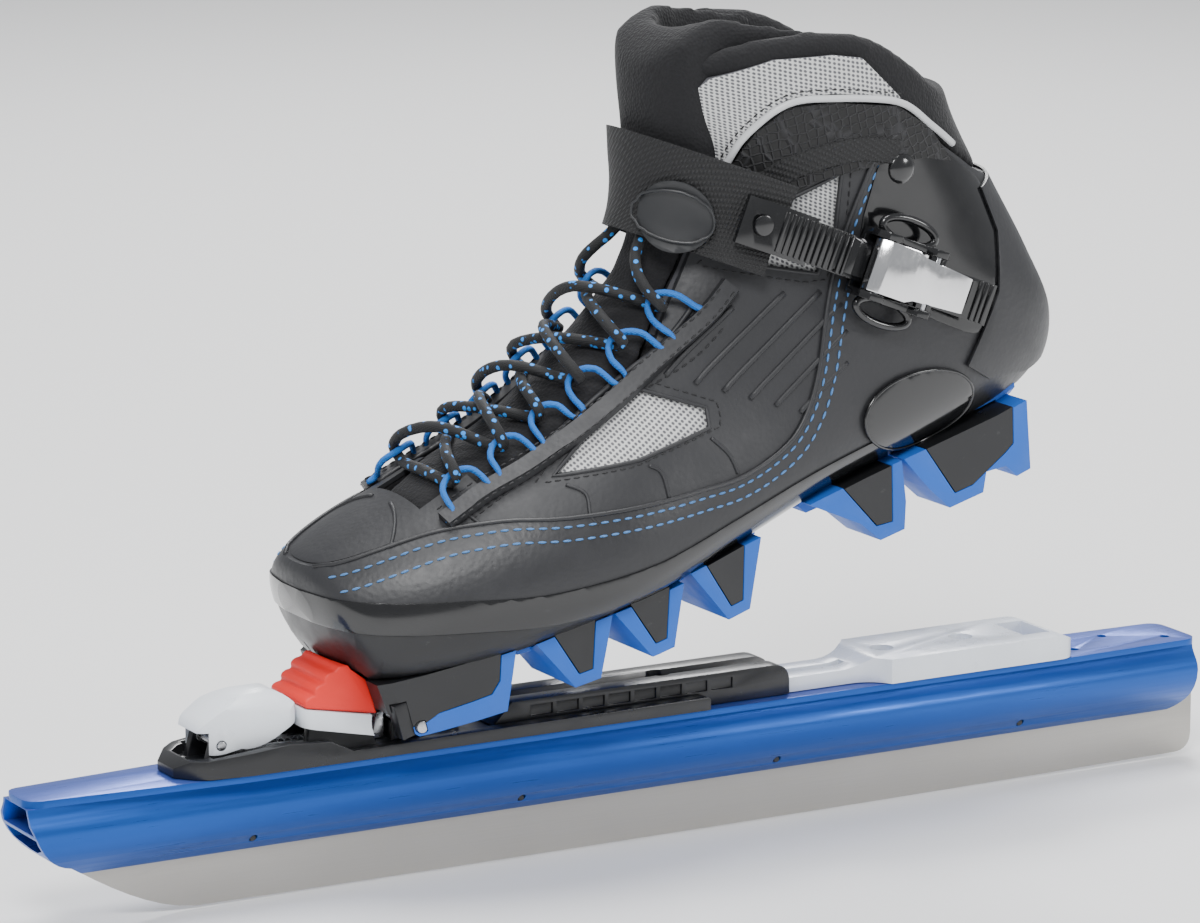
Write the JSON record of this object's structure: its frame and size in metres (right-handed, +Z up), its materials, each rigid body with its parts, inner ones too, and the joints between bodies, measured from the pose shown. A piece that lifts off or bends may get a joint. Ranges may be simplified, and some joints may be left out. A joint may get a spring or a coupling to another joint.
{
  "type": "touring speed skate",
  "caption": "Long-blade touring speed skate: laced boot with ratchet ankle strap, held at its toe bar in a step-in binding on an anodised aluminium blade tube.",
  "frame": {"origin": "middle of the running edge, on the ice", "axes": "+X along the blade from toe to heel, +Y to the inner side of the foot, +Z up, square to the flat at mid edge"},
  "size_m": [0.45, 0.1023, 0.2751],
  "materials": {
    "anodised_blue": "satin blue anodising",
    "blade_steel": "ground",
    "screw_steel": "satin",
    "black_plastic": "fine moulded texture",
    "white_plastic": "satin white",
    "red_rubber": "matt",
    "insert_black": "matt",
    "outsole_black": "matt with a gloss band",
    "tread_blue": "matt",
    "shell_grey": "matt coated shell",
    "upper_grey": "coated upper",
    "silver_mesh": "spacer mesh",
    "collar_black": "padded mesh",
    "foot_bed": "foam with fabric face",
    "wing_black": "gloss",
    "lace": "braided",
    "loop_blue": "woven cord",
    "rivet_steel": "satin",
    "strap_black": "padded webbing",
    "badge_rubber": "matt",
    "buckle_black": "gloss",
    "lever_chrome": "polished"
  },
  "bodies": {
    "blade": {"blade_tube": "anodised_blue", "steel_blade": "blade_steel", "blade_pin_1": "screw_steel", "blade_pin_2": "screw_steel", "blade_pin_3": "screw_steel", "blade_pin_4": "screw_steel", "binding_screw_1": "screw_steel", "binding_screw_2": "screw_steel", "binding_screw_3": "screw_steel", "heel_plate_screw_1": "screw_steel", "heel_plate_screw_2": "screw_steel", "binding_base": "black_plastic", "guide_ridge": "black_plastic", "heel_plate": "white_plastic", "flexor_seat": "white_plastic", "flexor": "red_rubber", "latch_spring": "screw_steel", "lever_pin": "screw_steel"},
    "latch": {"toe_latch": "screw_steel"},
    "lever": {"binding_lever": "white_plastic"},
    "boot": {"toe_bar": "screw_steel", "toe_bar_insert": "insert_black", "outsole": "outsole_black", "tread_toe": "tread_blue", "tread_forefoot": "tread_blue", "tread_heel": "tread_blue", "shell": "shell_grey", "vamp": "upper_grey", "liner": "silver_mesh", "collar": "collar_black", "tongue": "collar_black", "insole_board": "foot_bed", "insole": "foot_bed", "heel_counter": "wing_black", "lace": "lace", "lace_loops_outer": "loop_blue", "lace_loops_inner": "loop_blue", "arm_rivet_outer": "rivet_steel", "arm_rivet_inner": "rivet_steel", "shell_badge_outer": "wing_black", "shell_badge_inner": "wing_black", "strap_anchor": "strap_black", "strap_anchor_rivet": "rivet_steel", "buckle_base": "buckle_black", "buckle_rivet": "rivet_steel", "buckle_lever_pin": "rivet_steel", "buckle_pawl_pin": "rivet_steel"},
    "strap": {"ankle_strap": "strap_black", "strap_badge": "badge_rubber", "ladder_strap": "buckle_black", "ladder_rivet": "rivet_steel"},
    "buckle_lever": {"buckle_lever": "lever_chrome"},
    "buckle_pawl": {"buckle_pawl": "buckle_black"}
  },
  "joints": [
    {"name": "boot_pitch", "type": "hinge", "parent": "blade", "child": "boot", "pos_m": [-0.095, 0, 0.057], "axis": [0, -1, 0], "range_deg": [-15, 22], "deforming": ["flexor"]},
    {"name": "binding_lever_lift", "type": "hinge", "parent": "blade", "child": "lever", "pos_m": [-0.1575, 0, 0.0547], "axis": [0, -1, 0], "range_deg": [0, 55], "deforming": ["latch_spring"]},
    {"name": "toe_latch_slide", "type": "slide", "parent": "blade", "child": "latch", "axis": [-1, 0, 0], "range_m": [0, 0.007]},
    {"name": "strap_slide", "type": "slide", "parent": "boot", "child": "strap", "axis": [-0.9299, 0.036, 0.366], "range_m": [0, 0.008]},
    {"name": "buckle_lever_lift", "type": "hinge", "parent": "boot", "child": "buckle_lever", "pos_m": [0.06531, -0.04672, 0.19542], "axis": [-0.3664, 0, -0.9304], "range_deg": [0, 65]},
    {"name": "buckle_pawl_lift", "type": "hinge", "parent": "boot", "child": "buckle_pawl", "pos_m": [0.08296, -0.0476, 0.18847], "axis": [0.3664, 0, 0.9304], "range_deg": [0, 15], "stiffness_Nm_per_rad": 0.01, "springref_deg": -20.05}
  ],
  "couplings": [
    {"joint": "toe_latch_slide", "follows": "binding_lever_lift", "m_per_rad": 0.007272}
  ]
}
